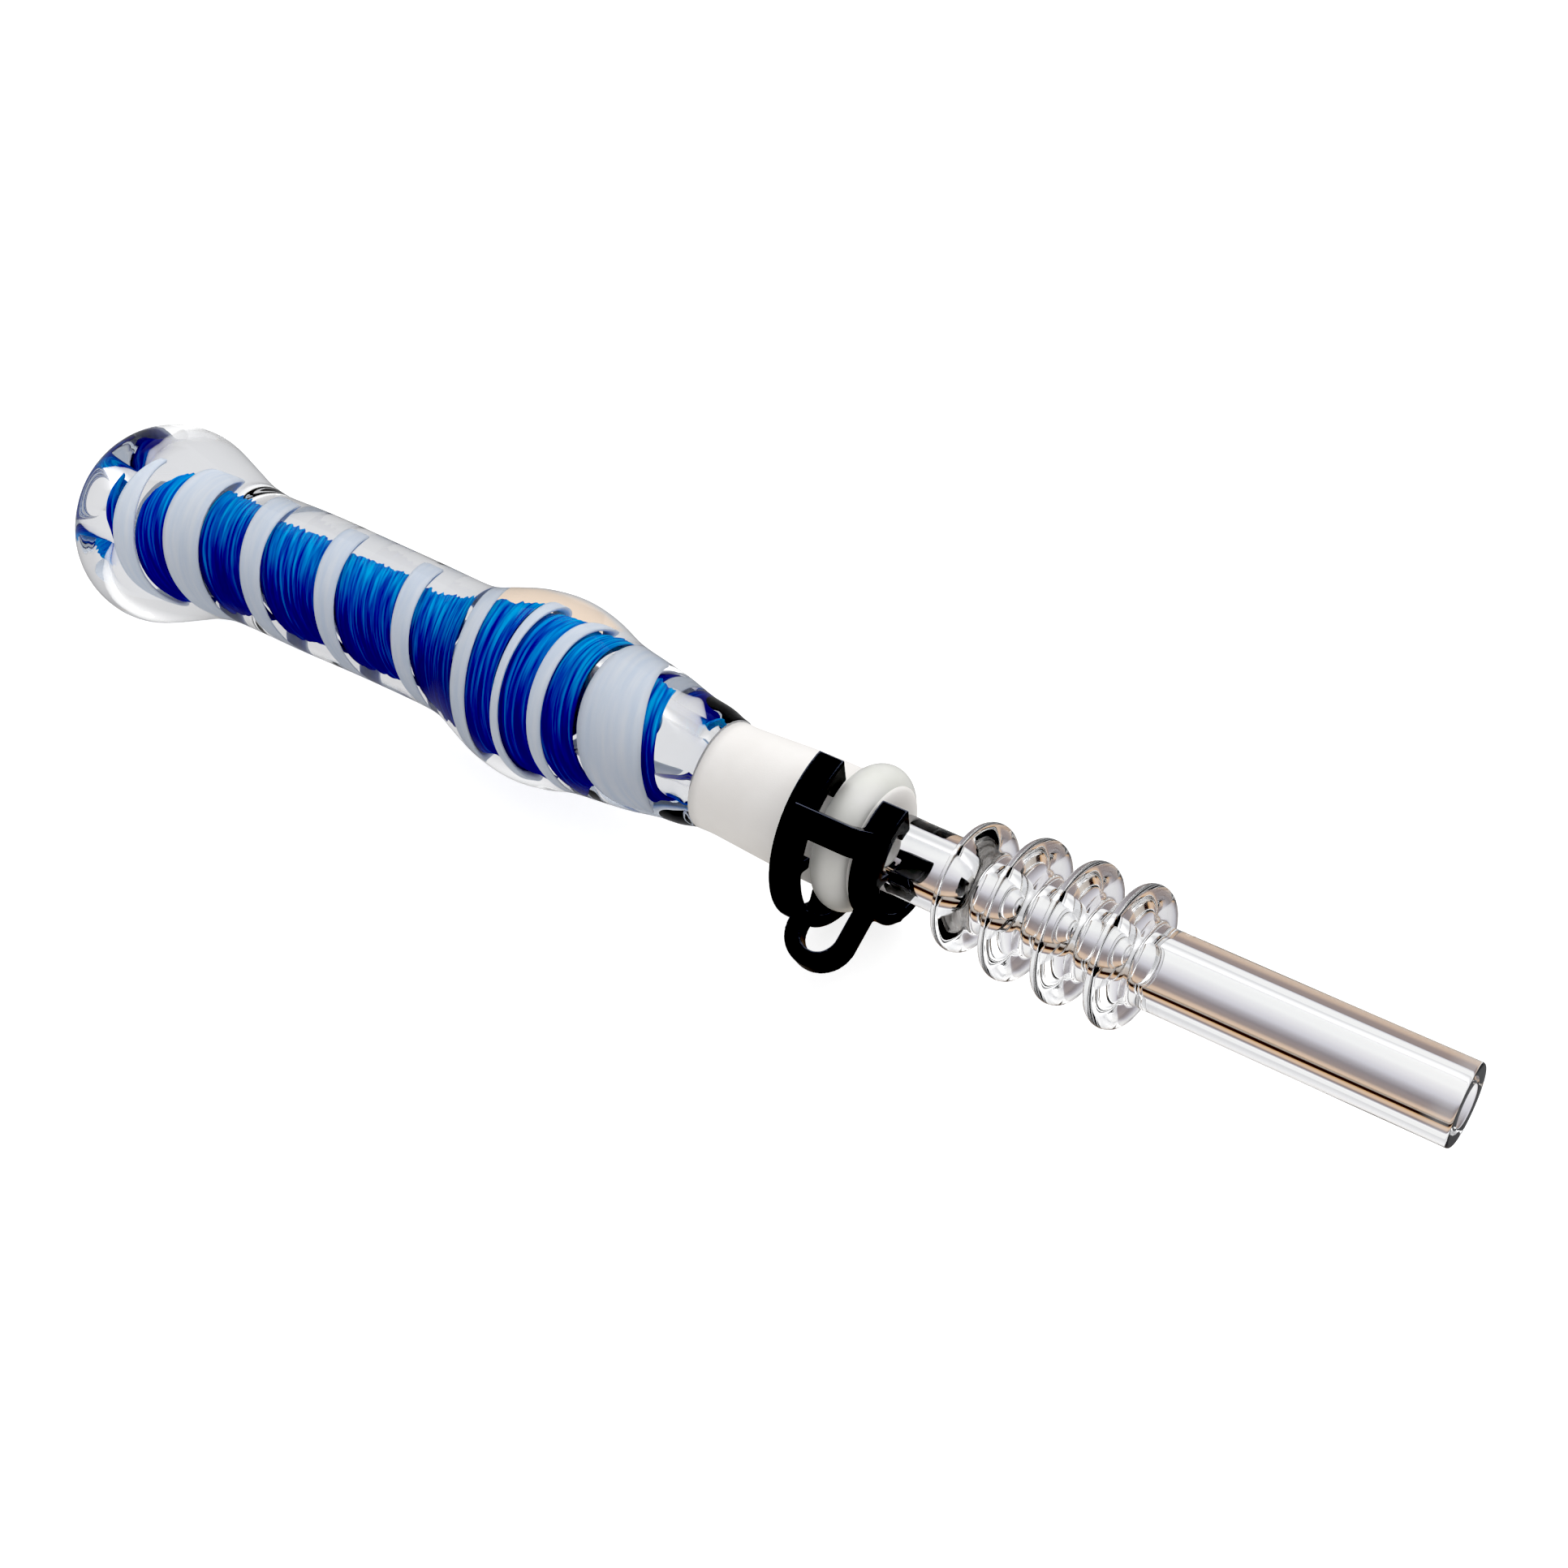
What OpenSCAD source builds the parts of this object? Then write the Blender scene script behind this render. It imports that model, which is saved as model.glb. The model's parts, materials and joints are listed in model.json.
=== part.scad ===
// Jointed glass straw lying along +X. x = 0 is the rim of the mouth end, and the open tip points to +X.
// The handle is one heavy tube with two colour trails wound inside its wall and a ground socket at its end.
// The tip has a ground cone that seats in the socket, four rings and a plain tube.
// A one-piece spring clip with two open collars keeps the two together. The clip's pull loop points down
// and to the front (-Y).

/* [Handle] */
// Length of the clear handle tube, up to the neck of the ground socket
body_length = 109; // [102:0.1:116]
// Largest diameter of the mouth knob
knob_d = 28.8; // [26:0.1:30]
// Diameter at the waist behind the knob
waist_d = 18.9; // [17.5:0.1:20]
// Diameter of the slim grip
grip_d = 18.2; // [17.5:0.1:19.5]
// Largest diameter of the bulge
bulge_d = 25.3; // [23:0.1:27]
// Diameter of the shoulder between bulge and socket
shoulder_d = 19.8; // [18.5:0.1:21]
// Diameter of the air passage through the grip
passage_d = 6.8; // [6.6:0.1:8]
// Diameter of the straight hole in the mouth rim
mouth_bore_d = 6.4; // [5:0.1:7]
// Length of the straight hole in the mouth rim
mouth_bore_len = 4; // [3:0.5:5]

/* [Colour trails] */
// Depth of the blue trail outside the air passage
blue_depth = 0.1; // [0.05:0.05:0.4]
// Wall thickness of the blue trail
blue_thick = 0.5; // [0.4:0.1:0.7]
// Largest width of the blue trail
blue_width = 12.2; // [8:0.1:12.4]
// Inner radius of the white trail in the grip
white_r = 5; // [4.8:0.1:5.2]
// Wall thickness of the white trail
white_thick = 0.6; // [0.4:0.1:0.7]
// Largest width of the white trail, where it ends in a broad band
white_width = 9; // [7:0.1:10]

/* [Ground joint] */
// Diameter of the socket's cone at its open end
cone_d = 10; // [9.8:0.1:10.2]
// Length of the ground cone
cone_length = 18; // [16:0.5:18]
// Loss of cone diameter for each millimetre of length
cone_taper = 0.1; // [0.1:0.01:0.11]
// Gap between cone and socket on each side
cone_gap = 0.04; // [0.02:0.01:0.06]
// Outer diameter of the socket
socket_d = 15.4; // [15:0.1:15.6]
// Outer diameter of the socket's neck
neck_d = 14.3; // [14:0.1:15]
// Length of the socket, from the neck to the open end
socket_length = 23.6; // [23:0.1:24]
// Outer diameter of the rolled rim
rim_d = 19; // [18.6:0.1:19.2]
// Thickness of the rolled rim along the straw
rim_bead = 6; // [5.6:0.1:6]

/* [Tip] */
// Outer diameter of the tip tube
tube_d = 10; // [9.8:0.1:10]
// Inner diameter of the tip tube
tube_bore_d = 5; // [4:0.1:6]
// Length of the tip outside the socket
tip_reach = 73.8; // [65:0.1:80]
// Distance from the socket to the first ring's middle
first_ring_at = 12.7; // [12:0.1:14]
// Distance between the rings
ring_pitch = 6.9; // [6.4:0.1:7.4]
// Diameter of the first ring
first_ring_d = 16.3; // [15:0.1:18]
// Diameter of the other rings
ring_d = 17.8; // [16:0.1:18]
// Thickness of a ring, which has a full round edge
ring_thick = 3.6; // [3:0.1:4]

/* [Clip] */
// Direction of the pull loop below the horizontal, towards the front
loop_angle = 32; // [25:1:40]
// Half of the arc that each open collar covers
collar_half_arc = 113; // [105:1:118]
// Width of each collar along the straw
collar_width = 3.7; // [3.4:0.1:3.8]
// Outer radius of the large collar
big_collar_r = 12.5; // [12.3:0.1:12.8]
// Wall of the large collar
big_collar_wall = 1.7; // [1.5:0.1:1.9]
// Radius inside the large collar's grip pads
big_pad_r = 9.2; // [9.1:0.1:9.6]
// Outer radius of the small collar
small_collar_r = 8.6; // [8.4:0.1:9]
// Wall of the small collar
small_collar_wall = 1.5; // [1.3:0.1:1.8]
// Radius inside the small collar's grip pads
small_pad_r = 5.3; // [5.2:0.1:5.6]
// Distance from the large collar's back face to the small collar's back face
collar_spacing = 8.7; // [8.5:0.1:9]
// Width of each bridge bar around the clip
bridge_width = 3.5; // [3:0.1:4]
// Angle of each bridge bar from the pull loop
bridge_angle = 72; // [65:1:80]
// Distance of the pull loop's outer edge from the straw's axis
loop_reach = 17.4; // [17:0.1:18]
// Half width of the pull loop along the straw
loop_half = 4.4; // [4.3:0.1:4.6]
// Width of the pull loop's bar, seen in the loop's plane
loop_bar = 2; // [1.8:0.1:2.2]
// Thickness of the pull loop
loop_thick = 2.6; // [2.2:0.1:3]

/* [Hidden] */
$fn = 64;

neck_x = body_length;
mouth_x = neck_x + socket_length;    // open end of the socket
tip_x = mouth_x + tip_reach;         // open end of the straw
rim_x = mouth_x - rim_bead / 2;
clip_x = mouth_x - 8.4;              // back face of the large collar
small_x = clip_x + collar_spacing;   // back face of the small collar
knob_x = 0.1 * body_length;         // where the knob is widest
f = body_length / 109;               // stretches the stations with the body

// Outer and inner stations of the handle wall: [distance from the mouth, radius].
outer_st = [
  [knob_x, knob_d / 2], [13.2 * f, knob_d / 2 - 0.35], [18.5 * f, knob_d / 2 - 2.3],
  [23.2 * f, waist_d / 2 + 0.9], [29.2 * f, waist_d / 2], [38.2 * f, waist_d / 2 + 0.05],
  [51.2 * f, (waist_d + grip_d) / 4], [63.2 * f, grip_d / 2], [67.2 * f, grip_d / 2 + 0.3],
  [71.2 * f, grip_d / 2 + 1.7], [75.2 * f, bulge_d / 2 - 0.6], [80.2 * f, bulge_d / 2],
  [84.7 * f, bulge_d / 2 - 0.6], [89.2 * f, shoulder_d / 2 + 0.75], [94.2 * f, shoulder_d / 2],
  [98.2 * f, shoulder_d / 2 - 0.6], [102.7 * f, neck_d / 2 + 1.15], [105.7 * f, neck_d / 2 + 0.85],
  [neck_x, neck_d / 2]];
inner_st = [
  [0, mouth_bore_d / 2], [mouth_bore_len, mouth_bore_d / 2], [8 * f, passage_d / 2 + 0.9],
  [12.5 * f, passage_d / 2 + 1.7], [18.2 * f, passage_d / 2 + 1.2], [28.2 * f, passage_d / 2 + 0.15],
  [43.2 * f, passage_d / 2], [63.2 * f, passage_d / 2], [71.2 * f, passage_d / 2 + 1.3],
  [79.2 * f, passage_d / 2 + 2.7], [86.2 * f, passage_d / 2 + 2.5], [94.2 * f, passage_d / 2 + 1],
  [101.2 * f, passage_d / 2 + 0.1], [neck_x, passage_d / 2 + 0.1]];
// Inner radius of the white trail, which lies outside the blue one all the way.
white_in_st = [
  [6 * f, white_r + 0.5], [8 * f, white_r + 0.7], [12.5 * f, white_r + 0.9], [16 * f, white_r + 0.8],
  [21 * f, white_r + 0.4], [28.2 * f, white_r + 0.05], [43.2 * f, white_r], [63.2 * f, white_r],
  [71.2 * f, white_r + 0.75], [79.2 * f, white_r + 1.9], [86.2 * f, white_r + 1.7],
  [94.2 * f, white_r + 0.4], [101.2 * f, white_r - 0.5], [neck_x, white_r - 0.6]];

// Smooth curve through stations: cubic pieces with the slope of the neighbouring stations.
function slope(s, i) = (i == 0 || i == len(s) - 1) ? 0
  : (s[i][1] - s[i - 1][1]) * (s[i + 1][1] - s[i][1]) <= 0 ? 0
  : (s[i + 1][1] - s[i - 1][1]) / (s[i + 1][0] - s[i - 1][0]);
function span_of(s, x, i = 0) = (i >= len(s) - 2 || x <= s[i + 1][0]) ? i : span_of(s, x, i + 1);
function cubic(t, h, a, b, ma, mb) = (2 * t ^ 3 - 3 * t ^ 2 + 1) * a + (t ^ 3 - 2 * t ^ 2 + t) * h * ma
  + (3 * t ^ 2 - 2 * t ^ 3) * b + (t ^ 3 - t ^ 2) * h * mb;
function through(s, x) = let (i = span_of(s, x), h = s[i + 1][0] - s[i][0], t = (x - s[i][0]) / h)
  cubic(t, h, s[i][1], s[i + 1][1], slope(s, i), slope(s, i + 1));
edge_r = 4.5;                        // radius of the flat rim around the mouth hole
function outer_r(x) = x < knob_x ? edge_r + (knob_d / 2 - edge_r) * sqrt(1 - (1 - x / knob_x) ^ 2)
  : through(outer_st, x);
function inner_r(x) = through(inner_st, x);

// Turns the outline of a round part, drawn as [radius, x], about the straw's axis.
module turned(points) rotate([0, 90, 0]) rotate_extrude() polygon(points);

module handle_body() {
  steps = 66;
  start = [for (a = [0:9:81]) [edge_r + (knob_d / 2 - edge_r) * sin(a), knob_x * (1 - cos(a))]];
  out = [for (i = [0:steps]) let (x = knob_x + (neck_x - knob_x) * i / steps) [outer_r(x), x]];
  wall = [for (i = [steps:-1:0]) let (x = mouth_bore_len + (neck_x - mouth_bore_len) * i / steps)
    [inner_r(x), x]];
  color([0.86, 0.92, 0.95, 0.35]) turned(concat(start, out, wall, [[mouth_bore_d / 2, 0]]));
}

// Both trails turn right-handed towards the tip. Each station is [turn, distance from the mouth, share of
// the largest width]. Whole turns cross the upper front line. The turns close up over the bulge.
blue_st = [[-0.45, 9.6, 0.13], [-0.2, 11.6, 0.4], [0, 13.65, 0.6], [1, 26.45, 0.8], [2, 39, 0.98],
  [3, 52.7, 1], [4, 65.15, 0.8], [5, 75, 0.43], [6, 80.4, 0.36], [7, 85.95, 0.45], [7.5, 92.2, 0.31],
  [8, 99.6, 0.25], [8.4, 102.2, 0.15], [8.8, 105, 0.07]];
white_st = [[-1.3, 6.8, 0.11], [-1, 8.9, 0.36], [-0.5, 13, 0.53], [0, 18.75, 0.72], [1, 32, 0.41],
  [2, 45.6, 0.4], [3, 59.3, 0.37], [4, 72.2, 0.3], [5, 78.2, 0.11], [6, 83.5, 0.21], [6.4, 86.7, 0.29],
  [7, 94.85, 1], [7.3, 97.4, 0.91], [7.65, 101, 0.22]];
function part_of(s, k) = [for (p = s) [p[0], p[k]]];
front_angle = 135;                   // upper front line, counted from +Y through +Z

// Sweeps a thin band around the axis. at(turn) gives the band's middle, the inner radius of its back edge,
// half its width and the inner radius of its front edge.
module trail(at, from, to, thick, step = 1 / 20) {
  n = ceil((to - from) / step);
  rings = [for (i = [0:n]) let (t = from + (to - from) * i / n, m = at(t), a = front_angle + 360 * t)
    for (c = [[-1, 0], [1, 0], [1, 1], [-1, 1]])
      let (x = m[0] + c[0] * m[2], r = (c[0] < 0 ? m[1] : m[3]) + c[1] * thick)
        [x, r * cos(a), r * sin(a)]];
  sides = [for (i = [0:n - 1], k = [0:3]) let (a = 4 * i + k, b = 4 * i + (k + 1) % 4)
    each [[a, b + 4, b], [a, a + 4, b + 4]]];
  ends = [[0, 1, 2], [0, 2, 3], [4 * n + 3, 4 * n + 2, 4 * n + 1], [4 * n + 3, 4 * n + 1, 4 * n]];
  polyhedron(rings, concat(sides, ends), convexity = 10);
}
function blue_at(t) = let (x = f * through(part_of(blue_st, 1), t),
  w = blue_width / 2 * through(part_of(blue_st, 2), t))
  [x, inner_r(x - w) + blue_depth, w, inner_r(x + w) + blue_depth];
function white_at(t) = let (x = f * through(part_of(white_st, 1), t),
  w = white_width / 2 * through(part_of(white_st, 2), t))
  [x, through(white_in_st, x - w), w, through(white_in_st, x + w)];
module blue_trail() color([0.02, 0.25, 0.62]) trail(function (t) blue_at(t), -0.45, 8.8, blue_thick);
module white_trail() color([0.86, 0.88, 0.93]) trail(function (t) white_at(t), -1.3, 7.65, white_thick);

function cone_r(x) = cone_d / 2 - (mouth_x - x) * cone_taper / 2;
cone_start = mouth_x - cone_length;
module socket() color([0.91, 0.9, 0.87]) turned([
  [inner_r(neck_x), neck_x], [neck_d / 2, neck_x], [neck_d / 2, neck_x + 2],
  [socket_d / 2 - 0.1, neck_x + 10], [socket_d / 2, neck_x + 14], [socket_d / 2, mouth_x - 0.25],
  [socket_d / 2 - 0.9, mouth_x], [cone_d / 2 + 0.3, mouth_x], [cone_d / 2, mouth_x - 0.3],
  [cone_r(cone_start), cone_start], [cone_r(cone_start), neck_x + 3]]);
// The rolled rim is a full round bead on the socket's open end.
module socket_rim() {
  r = rim_bead / 2;
  big = rim_d / 2 - r;
  low = asin((socket_d / 2 - big) / r);
  arc = [for (i = [0:24]) let (a = low + (180 - 2 * low) * i / 24) [big + r * sin(a), rim_x - r * cos(a)]];
  color([0.88, 0.91, 0.86, 0.6]) turned(arc);
}

module ground_cone() color([0.92, 0.92, 0.9]) turned([
  [tube_bore_d / 2, cone_start + 0.8], [cone_r(cone_start + 0.8) - cone_gap - 0.4, cone_start + 0.8],
  [cone_r(cone_start + 1.2) - cone_gap, cone_start + 1.2], [cone_r(mouth_x) - cone_gap, mouth_x],
  [tube_bore_d / 2, mouth_x]]);

// The tube widens slightly from the joint to the last ring, and is plain stock tube from there on.
neck_end_x = mouth_x + 4;
plain_x = mouth_x + first_ring_at + 3 * ring_pitch + ring_thick / 2 + 0.7;
function tube_r(x) = tube_d / 2 - 0.15 * min(1, max(0, (plain_x - x) / (plain_x - neck_end_x)));
module tip_tube() {
  lip = 0.6;
  lip_arc = [for (a = [0:15:90]) [tube_d / 2 - lip + lip * cos(a), tip_x - lip + lip * sin(a)]];
  color([0.86, 0.92, 0.95, 0.35]) turned(concat(
    [[tube_bore_d / 2, mouth_x], [cone_d / 2 - cone_gap, mouth_x], [tube_r(neck_end_x), neck_end_x],
      [tube_d / 2, plain_x]],
    lip_arc, [[tube_bore_d / 2 + 0.4, tip_x], [tube_bore_d / 2, tip_x - 0.4]]));
}

// A solid glass ring around the tube, with a full round edge and soft roots.
module ring(i) {
  x = mouth_x + first_ring_at + ring_pitch * i;
  r = ring_thick / 2;
  big = (i == 0 ? first_ring_d : ring_d) / 2 - r;
  arc = [for (a = [180:-10:0]) [big + r * sin(a), x + r * cos(a)]];
  foot = [r + 0.7, r + 0.15];
  color([0.86, 0.92, 0.95, 0.35]) turned(concat(
    [[tube_r(x - foot[0]), x - foot[0]], [tube_r(x - foot[1]) + 0.3, x - foot[1]]],
    arc, [[tube_r(x + foot[1]) + 0.3, x + foot[1]], [tube_r(x + foot[0]), x + foot[0]]]));
}
module ring_1() ring(0);
module ring_2() ring(1);
module ring_3() ring(2);
module ring_4() ring(3);

// Clip shapes are drawn with the pull loop along -Y and then turned about the straw's axis.
module clip_turn() color([0.06, 0.06, 0.07]) rotate([loop_angle, 0, 0]) children();
// Extrudes a shape drawn across the straw, where the first axis is +Y and the second is +Z.
module across(x0, x1) translate([x0, 0, 0]) rotate([90, 0, 90]) linear_extrude(x1 - x0) children();
// Extrudes an outline of [x, distance from the axis] that lies along the straw.
module along(points, width) linear_extrude(width, center = true) polygon([for (p = points) [p[0], -p[1]]]);
// Plane wedge of half angle h about the -Y direction.
module wedge(r, h) polygon(concat([[0, 0]],
  [for (i = [0:16]) let (a = 180 - h + 2 * h * i / 16) [r * 1.2 * cos(a), r * 1.2 * sin(a)]]));

// One open collar with four grip pads on its inside.
module collar(x0, r_out, wall, pad_r, pad_half) across(x0, x0 + collar_width) {
  intersection() {
    difference() { circle(r_out); circle(r_out - wall); }
    wedge(r_out, collar_half_arc);
  }
  for (side = [-1, 1], pad = [[42, pad_half / 2], [collar_half_arc - pad_half, pad_half]])
    intersection() {
      difference() { circle(r_out - wall + 0.3); circle(pad_r); }
      rotate(side * pad[0]) wedge(r_out, pad[1]);
    }
}
module clip_large_collar() clip_turn() collar(clip_x, big_collar_r, big_collar_wall, big_pad_r, 9);
module clip_small_collar() clip_turn() collar(small_x, small_collar_r, small_collar_wall, small_pad_r, 10);
// Takes the room of both collars out of a shape.
module off_collars() difference() {
  children();
  across(clip_x, clip_x + collar_width) circle(big_collar_r);
  across(small_x, small_x + collar_width) circle(small_collar_r);
}

// A bridge bar lies over the large collar and stands on the small one.
module bridge(side) {
  top = big_collar_r + 0.4;
  low = big_collar_r - 1.3;
  x0 = clip_x + 1.2;
  x1 = small_x + 1.6;
  clip_turn() rotate([side * bridge_angle, 0, 0]) off_collars() along([[x0, low], [x0, top - 0.3],
    [x0 + 0.3, top], [x1 - 0.8, top], [x1, top - 0.8], [x1, small_collar_r - 1],
    [small_x - 0.4, small_collar_r - 1], [small_x - 0.4, low]], bridge_width);
}
module clip_bridge_front() bridge(-1);
module clip_bridge_back() bridge(1);

// The pull loop joins both collars on the closed side and leaves a hole between them.
module clip_loop() {
  xc = clip_x + 6.85;
  rc = loop_reach - loop_half;
  gap = loop_half - loop_bar;
  outer = [for (a = [0:7.5:180]) [xc - loop_half * cos(a), rc + loop_half * sin(a)]];
  hole = [for (a = [180:-7.5:0]) [xc - gap * cos(a), rc + gap * sin(a)]];
  clip_turn() off_collars() along(concat([[xc - loop_half, big_collar_r - 1.3]], outer,
    [[xc + loop_half, small_collar_r - 0.8], [xc + gap, small_collar_r - 0.8]], hole,
    [[xc - gap, big_collar_r - 1.3]]), loop_thick);
}

handle_body();
blue_trail();
white_trail();
socket();
socket_rim();
ground_cone();
tip_tube();
ring_1();
ring_2();
ring_3();
ring_4();
clip_large_collar();
clip_small_collar();
clip_bridge_front();
clip_bridge_back();
clip_loop();
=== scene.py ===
import json
import math

import bmesh
import bpy
import numpy as np
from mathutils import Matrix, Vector, noise


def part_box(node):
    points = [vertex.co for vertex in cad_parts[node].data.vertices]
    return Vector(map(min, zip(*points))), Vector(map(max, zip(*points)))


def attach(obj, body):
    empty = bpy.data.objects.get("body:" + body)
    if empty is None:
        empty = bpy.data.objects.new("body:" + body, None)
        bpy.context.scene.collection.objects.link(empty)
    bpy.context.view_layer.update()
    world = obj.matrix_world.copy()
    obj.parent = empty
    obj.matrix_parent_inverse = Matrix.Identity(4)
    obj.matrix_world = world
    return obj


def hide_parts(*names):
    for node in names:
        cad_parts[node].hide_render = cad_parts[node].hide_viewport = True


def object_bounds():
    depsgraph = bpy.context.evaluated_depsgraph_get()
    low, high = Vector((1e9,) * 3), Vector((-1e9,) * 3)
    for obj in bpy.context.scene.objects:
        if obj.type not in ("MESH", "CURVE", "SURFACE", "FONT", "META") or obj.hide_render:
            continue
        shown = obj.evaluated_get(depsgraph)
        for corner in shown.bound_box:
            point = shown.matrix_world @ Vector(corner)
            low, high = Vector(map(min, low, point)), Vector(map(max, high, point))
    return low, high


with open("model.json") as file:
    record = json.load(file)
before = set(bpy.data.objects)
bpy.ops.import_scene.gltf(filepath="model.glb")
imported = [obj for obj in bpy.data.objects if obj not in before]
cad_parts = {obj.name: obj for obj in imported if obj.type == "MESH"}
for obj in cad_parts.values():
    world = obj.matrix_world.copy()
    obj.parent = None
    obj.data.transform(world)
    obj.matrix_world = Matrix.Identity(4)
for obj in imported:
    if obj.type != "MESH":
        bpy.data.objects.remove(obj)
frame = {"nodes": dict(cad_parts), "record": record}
cad_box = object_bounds()

MM = 0.001
UP_BACK = Vector((0.0, 0.7071, 0.7071))  # square to the straw, towards the upper back
HAIR = 0.05 * MM  # between glass faces that would otherwise lie in one place

# What the camera looks at, and from where: metres and degrees.
VIEW_TARGET = Vector((0.1178, 0.0, 0.0029))
VIEW_DISTANCE = 0.2876
VIEW_AZIMUTH = 35.0
VIEW_ELEVATION = 39.0
LENS = 54.04

GLASS_IOR = 1.47
GLASS_SHEEN = (0.12, 0.12, 0.12)  # weak mirror images of the room

# Painted reflections: what the glass sees of the floor, from in front of the straw to behind it, while the
# camera sees the floor plain. The tan and dark stripes lie only beside the tip. Dull surfaces are lit by a
# plain bright floor instead.
FLOOR_FRONT, FLOOR_BACK = -26 * MM, 24 * MM
PAINTED_REFLECTION_STOPS = [(0.0, (0.60, 0.55, 0.50)), (0.30, (0.45, 0.40, 0.36)), (0.345, (0.02, 0.008, 0.004)),
               (0.425, (0.02, 0.008, 0.004)), (0.445, (0.60, 0.36, 0.18)), (0.50, (0.70, 0.52, 0.38)),
               (0.57, (0.62, 0.46, 0.35)), (0.61, (0.33, 0.26, 0.24)), (0.69, (0.26, 0.23, 0.24)),
               (0.74, (0.40, 0.38, 0.41)), (0.79, (0.62, 0.61, 0.66)), (0.86, (0.76, 0.75, 0.78)),
               (1.0, (0.90, 0.90, 0.90))]
STRIPES_START = 104 * MM, 128 * MM
STRIPES_END = 212 * MM, 200 * MM
FLOOR_LIGHT = (1.0, 0.98, 0.95)
# A tan patch in the floor that only glass sees: a painted reflection.
PAINTED_REFLECTION_PATCH = (67 * MM, 9 * MM, 4 * MM, 6 * MM)  # centre x and y, half lengths
PAINTED_REFLECTION_TAN = (0.91, 0.75, 0.61)
MIRROR_DIM = 0.3  # brightness of the room and floor in mirror images
FLOOR_PALE = (0.74, 0.745, 0.765)
FLOOR_GREY = (0.5, 0.5, 0.5)  # shows the shadow
FLOOR_GLOW = 0.75
FLOOR_HALF = 3.0
FLOOR_Z = cad_box[0].z - 0.2 * MM

# The room is white above and behind, and darker on the camera's side.
BRIGHT_SIDE = (0.22, 0.42, 0.88)
ROOM_STOPS = [(0.25, (0.42, 0.42, 0.43)), (0.69, (0.58, 0.58, 0.59)), (0.80, (0.84, 0.84, 0.85)),
              (0.92, (1.0, 1.0, 1.0))]
ROOM_STRENGTH = 1.25
SOFTBOX_PLACE = Vector((0.0, 0.5, 1.4))
SOFTBOX_SIZE = 2.4, 1.8
SOFTBOX_POWER = 9.0
BLACK_LEVEL = 0.015  # the picture's darkest tone
LIGHT_BOUNCES = 24  # light crosses many glass faces before it gets out

LATHE_SIDES = 128
HANDLE_SIDES = 160
HANDLE_WOBBLE = 0.12 * MM
TIP_WOBBLE = 0.03 * MM
RING_MARGIN = 0.4 * MM  # a ring's round edge is narrower than its foot by this much at each side
RING_FILLET = 0.6 * MM
TIP_LIP = 0.35 * MM

# Painted highlight: the clip's sharp edges that face up, along one fixed world direction, are coloured
# lighter.
CLIP_PAINTED_HIGHLIGHT_SIDE = (-0.36, 0.51, 0.78)
CLIP_HIGHLIGHT_POINTINESS = 0.505, 0.535  # pointiness where the lighter edge starts and where it is full
CLIP_HIGHLIGHT_FACING = 0.3, 0.8
# Colour of the painted highlight on the clip's edges.
CLIP_PAINTED_HIGHLIGHT_COLOUR = (0.10, 0.11, 0.15)
CLIP_VOXEL = 0.14 * MM
CLIP_SMOOTHINGS = 6


# ---------------------------------------------------------------- the frame's own outlines

def outline(node, side):
    """Stations (distance along the straw, radius) of a round CAD node: its outside (side 1) or bore (-1)."""
    mesh, radii = frame["nodes"][node].data, {}
    for face in mesh.polygons:
        middle = Vector((0, face.center.y, face.center.z)).normalized()
        if face.normal.dot(middle) * side > 0.02:
            for i in face.vertices:
                co = mesh.vertices[i].co
                radii.setdefault(round(co.x, 6), []).append(math.hypot(co.y, co.z) * side)
    xs = sorted(radii)
    return np.array(xs), np.array([max(radii[x]) * side for x in xs])


def between(stations):
    """The broken line through stations, as a function of distance."""
    return lambda x: float(np.interp(x, *stations))


HANDLE_OUT = outline("handle_body", 1)
HANDLE_IN = outline("handle_body", -1)
NECK_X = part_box("handle_body")[1].x
SOCKET_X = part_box("socket")[1].x
TIP_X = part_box("tip_tube")[1].x
SOCKET_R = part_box("socket")[1].z
TUBE_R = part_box("tip_tube")[1].z


def smooth_through(stations, width):
    """A smooth curve near the stations: their broken line, averaged over a short width."""
    xs, ys = stations
    offsets = np.linspace(-1, 1, 9) * width
    weights = 1 - (offsets / (width * 1.25)) ** 2

    def at(x):
        x = np.asarray(x, float)[..., None] + offsets
        return (np.interp(x, xs, ys) * weights).sum(-1) / weights.sum()
    return at


handle_out = smooth_through(HANDLE_OUT, 0.8 * MM)
handle_in = smooth_through(HANDLE_IN, 0.8 * MM)

# The hand-drawn handle isn't quite straight: its middle rises towards the upper back, and the passage and
# the colour trails follow with a part of that rise.
BOW_X = np.array([0, 14, 24, 32, 45, 60, 80, 92, 100, 109]) * MM
BOW_RISE = np.array([0.8, 0.85, 1.3, 1.6, 1.6, 1.45, 1.0, 0.6, 0.3, 0.1]) * MM
bow_rise = smooth_through((BOW_X, BOW_RISE), 6 * MM)
CORE_SHARE = 0.65


# ---------------------------------------------------------------- mesh helpers

def mesh_object(name, points, faces, smooth=True):
    """A new object with its faces turned outwards."""
    mesh = bpy.data.meshes.new(name)
    mesh.from_pydata([tuple(p) for p in points], [], faces)
    mesh.validate()
    bm = bmesh.new()
    bm.from_mesh(mesh)
    bmesh.ops.recalc_face_normals(bm, faces=bm.faces)
    bm.to_mesh(mesh)
    bm.free()
    for poly in mesh.polygons:
        poly.use_smooth = smooth
    obj = bpy.data.objects.new(name, mesh)
    bpy.context.scene.collection.objects.link(obj)
    return obj


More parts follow.
